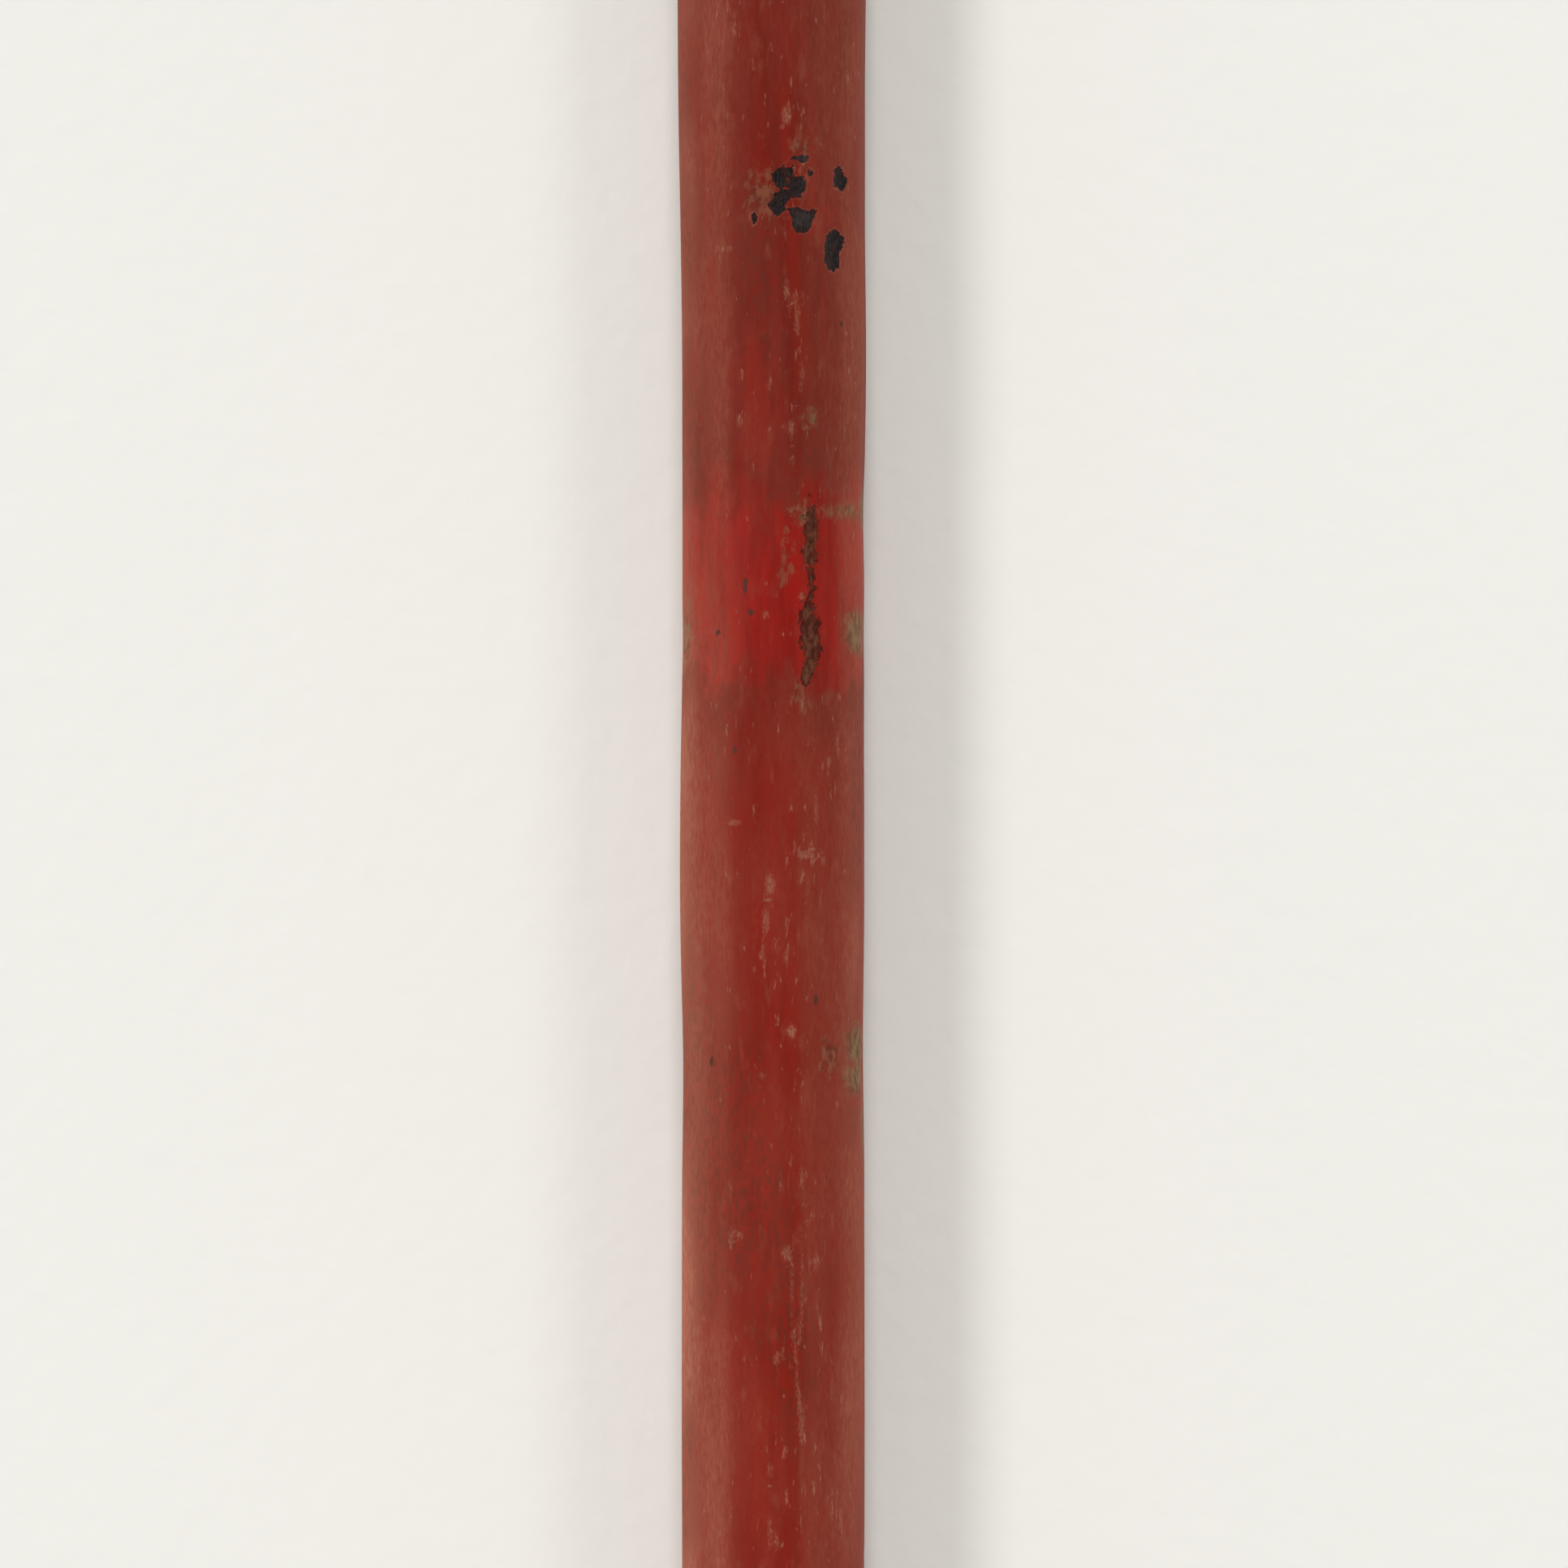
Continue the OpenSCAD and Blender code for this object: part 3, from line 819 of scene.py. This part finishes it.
    def nicks(self, paint):
        """Short marks that lie along the bar, thicker on its corners and in some stretches."""
        thick = self.step(self.attribute("marked"), 1.5, -1.5)
        nick = self.noise(self.at, (1.5, 1.5, 0.42), 2, 0.6, 57.0)
        nick = self.plus(nick, self.times(self.attribute("ridge"), 0.025))
        nick = self.plus(nick, self.times(thick, 0.06))
        nick = self.plus(nick, self.swing(self.patch, 0.14))
        self.nicked = self.step(nick, 0.66, 0.76)
        pale = self.tones(self.speck, 0.4, 0.62, PALE_MARK)
        paint = self.blend(self.times(self.nicked, 0.45), paint, pale)
        dark = self.step(self.noise(self.at, (2.2, 2.2, 0.6), 3, 0.7, 71.0), 0.69, 0.735)
        paint = self.blend(self.times(dark, 0.6), paint, DARK_NICK)

        round_by, along_by, radius = self.parts(self.attribute("mark", "Vector"))
        square = self.plus(self.times(round_by, round_by), self.times(along_by, along_by))
        outside = self.minus(self.math("POWER", square, 0.5), radius)
        outside = self.plus(outside, self.swing(self.crumbs, 1.1, 0.47))
        share = self.step(self.cloud, 0.35, 0.65, 0.30, 0.58)
        return self.blend(self.times(self.step(outside, 0.26, -0.28), share), paint, pale)

    def worn_thin(self, paint):
        """Places worn down to a khaki film of primer and dirt, and brown scuffs."""
        khaki = self.minus(self.swing(self.crumbs, 2.6), self.attribute("khaki"))
        film = self.tones(self.lumps, 0.38, 0.62, KHAKI_FILM)
        paint = self.blend(self.times(self.step(khaki, -1.0, 0.8), 0.86), paint, film)
        scuff = self.minus(self.swing(self.lumps, 4.4), self.attribute("scuff"))
        brown = self.tones(self.lumps, 0.4, 0.6, BROWN_SCUFF)
        return self.blend(self.times(self.step(scuff, -0.5, 0.9), 0.7), paint, brown)

    def chips(self, paint):
        """Chips down to the black base coat, with the enamel's broken edge round them."""
        chip = self.plus(self.attribute("chip"), self.fine)
        rim_share = self.step(self.mottle, 0.35, 0.6, 0.2, 0.75)
        self.rim = self.times(self.step(chip, 0.26, 0.08), rim_share)
        paint = self.blend(self.rim, paint, ENAMEL_BROKEN)
        self.chipped = self.step(chip, 0.05, -0.02)
        black = self.tones(self.crumbs, 0.4, 0.62, BLACK_COAT)
        black = self.blend(self.step(self.lumps, 0.48, 0.64, 0.0, 0.7), black, BLACK_STAINED)
        self.black = self.blend(self.step(chip, -0.28, 0.02, 0.0, 0.6), black, BLACK_RIM)
        paint = self.blend(self.chipped, paint, self.black)
        dot = self.step(self.plus(self.attribute("dot"), self.fine), 0.08, -0.04)
        return self.blend(self.times(dot, 0.85), paint, DARK_DOT)

    def scrapes(self, paint):
        """Scrapes down to steel, which has rusted."""
        rough_edge = self.times_plus(self.minus(self.crumbs, 0.47), 1.3, self.fine)
        scrape = self.plus(self.attribute("scrape"), rough_edge)
        self.scraped = self.step(scrape, 0.14, -0.1)
        rust = self.tones(self.lumps, 0.36, 0.62, RUST)
        rim_share = self.step(self.cloud, 0.40, 0.56, 0.15, 1.0)
        rim = self.times(self.step(scrape, -0.6, -0.05), rim_share)
        rust = self.blend(rim, rust, RUST_RIM)
        return self.blend(self.times(self.scraped, 0.88), paint, rust)

    def bare_ends(self, paint):
        """The working ends, worn to bright steel over dark scale and rust."""
        worn = self.plus(self.attribute("bare"), self.swing(self.mottle, 9.0))
        worn = self.plus(worn, self.swing(self.speck, 1.6))
        self.bare = self.step(worn, -0.1, 0.25)
        self.bright = self.step(worn, 0.8, 4.5)
        self.ground = self.noise(self.at, (3.6, 3.6, 0.13), 3, 0.65, 91.0)
        scale = self.tones(self.mottle, 0.35, 0.65, MILL_SCALE)
        steel = self.blend(self.bright, scale, self.tones(self.ground, 0.36, 0.64, BRIGHT_STEEL))
        stain_share = self.step(self.speck, 0.35, 0.6, 0.35, 0.75)
        stain = self.times(self.step(self.patch, 0.46, 0.6), stain_share)
        steel = self.blend(stain, steel, RUST_STAIN)
        self.pitted = self.step(self.noise(self.at, (0.9, 0.9, 0.7), 4, 0.7, 97.0), 0.60, 0.66)
        steel = self.blend(self.times(self.pitted, 0.75), steel, RUST_PIT)
        base_edge = self.times(self.step(worn, -0.8, -0.25), self.step(worn, 0.3, 0.0))
        paint = self.blend(base_edge, paint, self.black)
        return self.blend(self.bare, paint, steel)

    def gloss(self):
        """Duller where dirty, under the painted sheen, or rusted, glossier in the chips, metal
        where bare.
        """
        roughness = self.times_plus(self.grain, 0.25, 0.42)
        roughness = self.plus(roughness, self.times(self.dust_and_sheen_share, 0.5))
        roughness = self.minus(roughness, self.times(self.clean, 0.06))
        for worn, its_own in ((self.chipped, 0.3), (self.scraped, 0.85), (self.bare, 0.42)):
            roughness = self.blend_number(worn, roughness, its_own)
        self.shade("Roughness", roughness)
        self.shade("Metallic", self.times(self.bare, self.times_plus(self.bright, 0.5, 0.4)))
        self.shader.inputs["IOR"].default_value = 1.47
        self.shader.inputs["Specular IOR Level"].default_value = 0.10
        self.shader.inputs["Diffuse Roughness"].default_value = 0.8

    def fine_relief(self):
        """What is too fine for the mesh: grain, nicks, chips, rust, pits and ground marks."""
        height = self.times(self.grain, 0.03)
        height = self.minus(height, self.times(self.nicked, 0.03))
        height = self.minus(height, self.times(self.chipped, 0.10))
        height = self.minus(height, self.times(self.times(self.scraped, self.speck), 0.25))
        height = self.plus(height, self.times(self.rim, 0.02))
        height = self.times_plus(self.mottle, 0.05, height)
        marks = self.minus(self.times(self.ground, 0.06), self.times(self.pitted, 0.10))
        height = self.times_plus(self.bare, marks, height)
        self.shade("Normal", self.bump(height, MM, 0.9))


def worn_paint():
    """The bar's material."""
    n = WornPaint()
    paint = n.enamel()
    for layer in (n.dust_and_sheen, n.soot_and_shade, n.nicks, n.worn_thin, n.chips, n.scrapes, n.bare_ends):
        paint = layer(paint)
    n.shade("Base Color", paint)
    n.gloss()
    n.fine_relief()
    return n.material


def floor_paint():
    """A plain pale floor. Its noises are per metre."""
    n = Nodes("pale_floor")
    at = n.put("ShaderNodeNewGeometry").outputs["Position"]
    n.shade("Base Color", n.blend(n.noise(at, (3.0, 3.0, 3.0), 2), *FLOOR_PAINT))
    grain = n.noise(at, (260.0, 260.0, 260.0), 2)
    n.shade("Normal", n.bump(grain, 0.0004, 0.35))
    n.shader.inputs["Roughness"].default_value = 0.8
    n.shader.inputs["Specular IOR Level"].default_value = 0.2
    return n.material


# ------------------------------------------------------------------------------- the studio
FLOOR_HALF_SIDE = 6.0           # in metres
FLOOR_GAP = 0.0001              # how far the floor is under the bar, in metres
# Each light as (name, where it comes from, degrees above the floor, degrees wide, strength).
LIGHTS = [
    ("left_light", (0, -1), 52, 15, 1.04),
    ("right_light", (0, 1), 50, 15, 0.40),
    ("end_light", (-1, 0), 48, 12, 1.57),
]
LENS, SENSOR = 180.0, 36.0      # in millimetres
# How bright the walls and the room above them are, and the sines of the heights between
# which the one gives way to the other.
WALL_GLOW, ROOM_GLOW = 0.92, 0.27
WALL_TOP, ROOM_FROM = 0.05, 0.4


def make_floor():
    """A large square just under the bar."""
    s = FLOOR_HALF_SIDE
    mesh = bpy.data.meshes.new("floor")
    corners = [(-s, -s, 0), (s, -s, 0), (s, s, 0), (-s, s, 0)]
    mesh.from_pydata(corners, [], [(0, 1, 2, 3)])
    floor = bpy.data.objects.new("floor", mesh)
    floor.location.z = -FLOOR_GAP
    floor.data.materials.append(floor_paint())
    bpy.context.scene.collection.objects.link(floor)


def make_light(name, towards, elevation, width, strength):
    """A soft light that falls evenly over the whole floor, as from a large far window."""
    data = bpy.data.lights.new(name, "SUN")
    data.angle = math.radians(width)
    data.energy = strength
    light = bpy.data.objects.new(name, data)
    rise = math.radians(elevation)
    flat = Vector(towards) * math.cos(rise)
    light.location = 2 * Vector((flat.x, flat.y, math.sin(rise)))
    light.rotation_euler = (-light.location).to_track_quat("-Z", "Y").to_euler()
    bpy.context.scene.collection.objects.link(light)


def make_camera(target):
    """Straight above the shank with the gooseneck's end at the top of the picture."""
    data = bpy.data.cameras.new("camera")
    data.lens = LENS
    data.sensor_width = SENSOR
    data.clip_start = 0.01
    data.clip_end = 50.0
    camera = bpy.data.objects.new("camera", data)
    distance = SEEN_LENGTH * MM * LENS / SENSOR
    along = SETTLED.to_3x3().normalized().col[0]
    up = Vector((0, 0, 1))
    back = (up - along * up.dot(along)).normalized()
    right = (-along).cross(back)
    place = target + back * distance - right * BAR_OFF_CENTRE * MM
    turn = Matrix((right, -along, back)).transposed()
    camera.matrix_world = Matrix.Translation(place) @ turn.to_4x4()
    bpy.context.scene.collection.objects.link(camera)
    bpy.context.scene.camera = camera


def make_world():
    """Pale walls all round at the height of the floor, and a darker room above them."""
    world = bpy.data.worlds.new("room")
    bpy.context.scene.world = world
    world.use_nodes = True
    nodes, links = world.node_tree.nodes, world.node_tree.links
    height = nodes.new("ShaderNodeSeparateXYZ")
    links.new(nodes.new("ShaderNodeTexCoord").outputs["Generated"], height.inputs[0])
    fall = nodes.new("ShaderNodeMapRange")
    fall.interpolation_type = "SMOOTHSTEP"
    fall.inputs["From Min"].default_value = WALL_TOP
    fall.inputs["From Max"].default_value = ROOM_FROM
    fall.inputs["To Min"].default_value = WALL_GLOW
    fall.inputs["To Max"].default_value = ROOM_GLOW
    links.new(height.outputs[2], fall.inputs["Value"])
    background = nodes["Background"]
    background.inputs["Color"].default_value = ROOM_LIGHT
    links.new(fall.outputs[0], background.inputs["Strength"])


def main():
    seen_top = SETTLED @ Vector((SEEN_AT, 0, 0)) + Vector((0, 0, HALF * MM))
    make_camera(seen_top)
    make_world()
    for light in LIGHTS:
        make_light(*light)
    make_floor()

    bar = make_bar()
    bar.data.materials.clear()
    bar.data.materials.append(worn_paint())
    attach(bar, "root")
    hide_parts("forged_bar")

    scene = bpy.context.scene
    scene.view_settings.view_transform = "Standard"


main()
